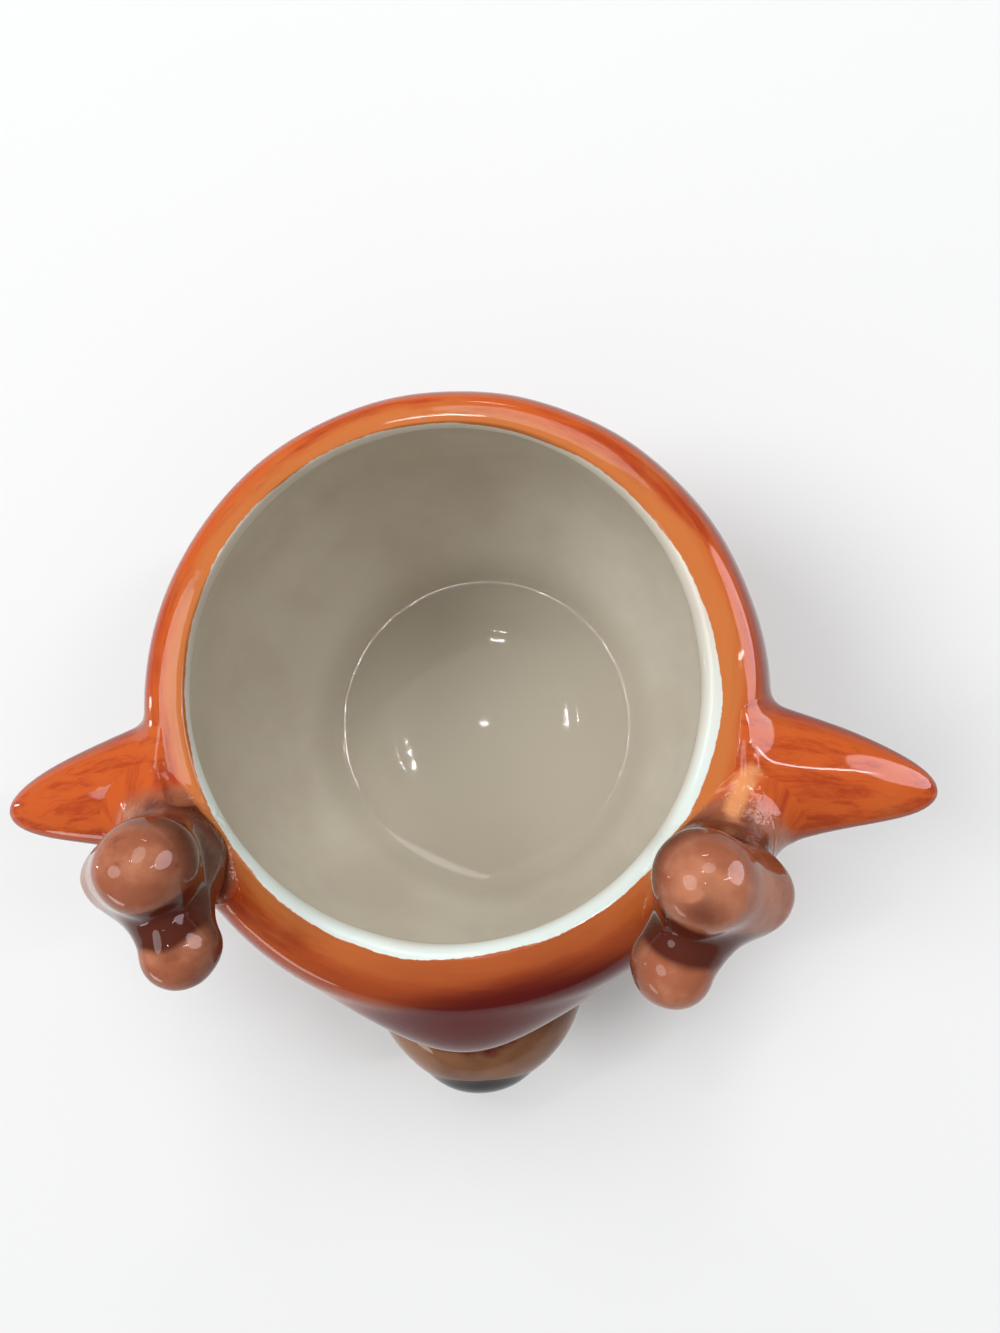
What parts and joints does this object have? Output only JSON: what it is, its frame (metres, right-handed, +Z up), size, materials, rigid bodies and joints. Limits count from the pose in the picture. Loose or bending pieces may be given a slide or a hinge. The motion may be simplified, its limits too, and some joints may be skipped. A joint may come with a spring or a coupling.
{
  "type": "animal-shaped bowl",
  "caption": "Round slip-cast bowl shaped as a deer's head, with a wide open mouth, a muzzle at the front, and ears and antlers at the sides.",
  "frame": {"origin": "under the middle of the object's outline, on the plane that the foot ring rests on", "axes": "+Z up through the mouth, -Y the way the face looks, +X towards the ear on the right of someone facing the face"},
  "size_m": [0.2176, 0.1832, 0.133],
  "materials": {
    "orange_glaze": "hand-brushed orange-brown under clear gloss glaze, with a pale liner glaze inside",
    "tan_glaze": "tan under clear gloss glaze",
    "brown_glaze": "pinkish brown under clear gloss glaze",
    "black_glaze": "black gloss glaze"
  },
  "bodies": {
    "root": {"head_bowl": "orange_glaze", "muzzle": "tan_glaze", "nose": "black_glaze", "ear_left": "orange_glaze", "ear_right": "orange_glaze", "antler_left": "brown_glaze", "antler_right": "brown_glaze", "eye_left": "black_glaze", "eye_right": "black_glaze"}
  },
  "joints": []
}
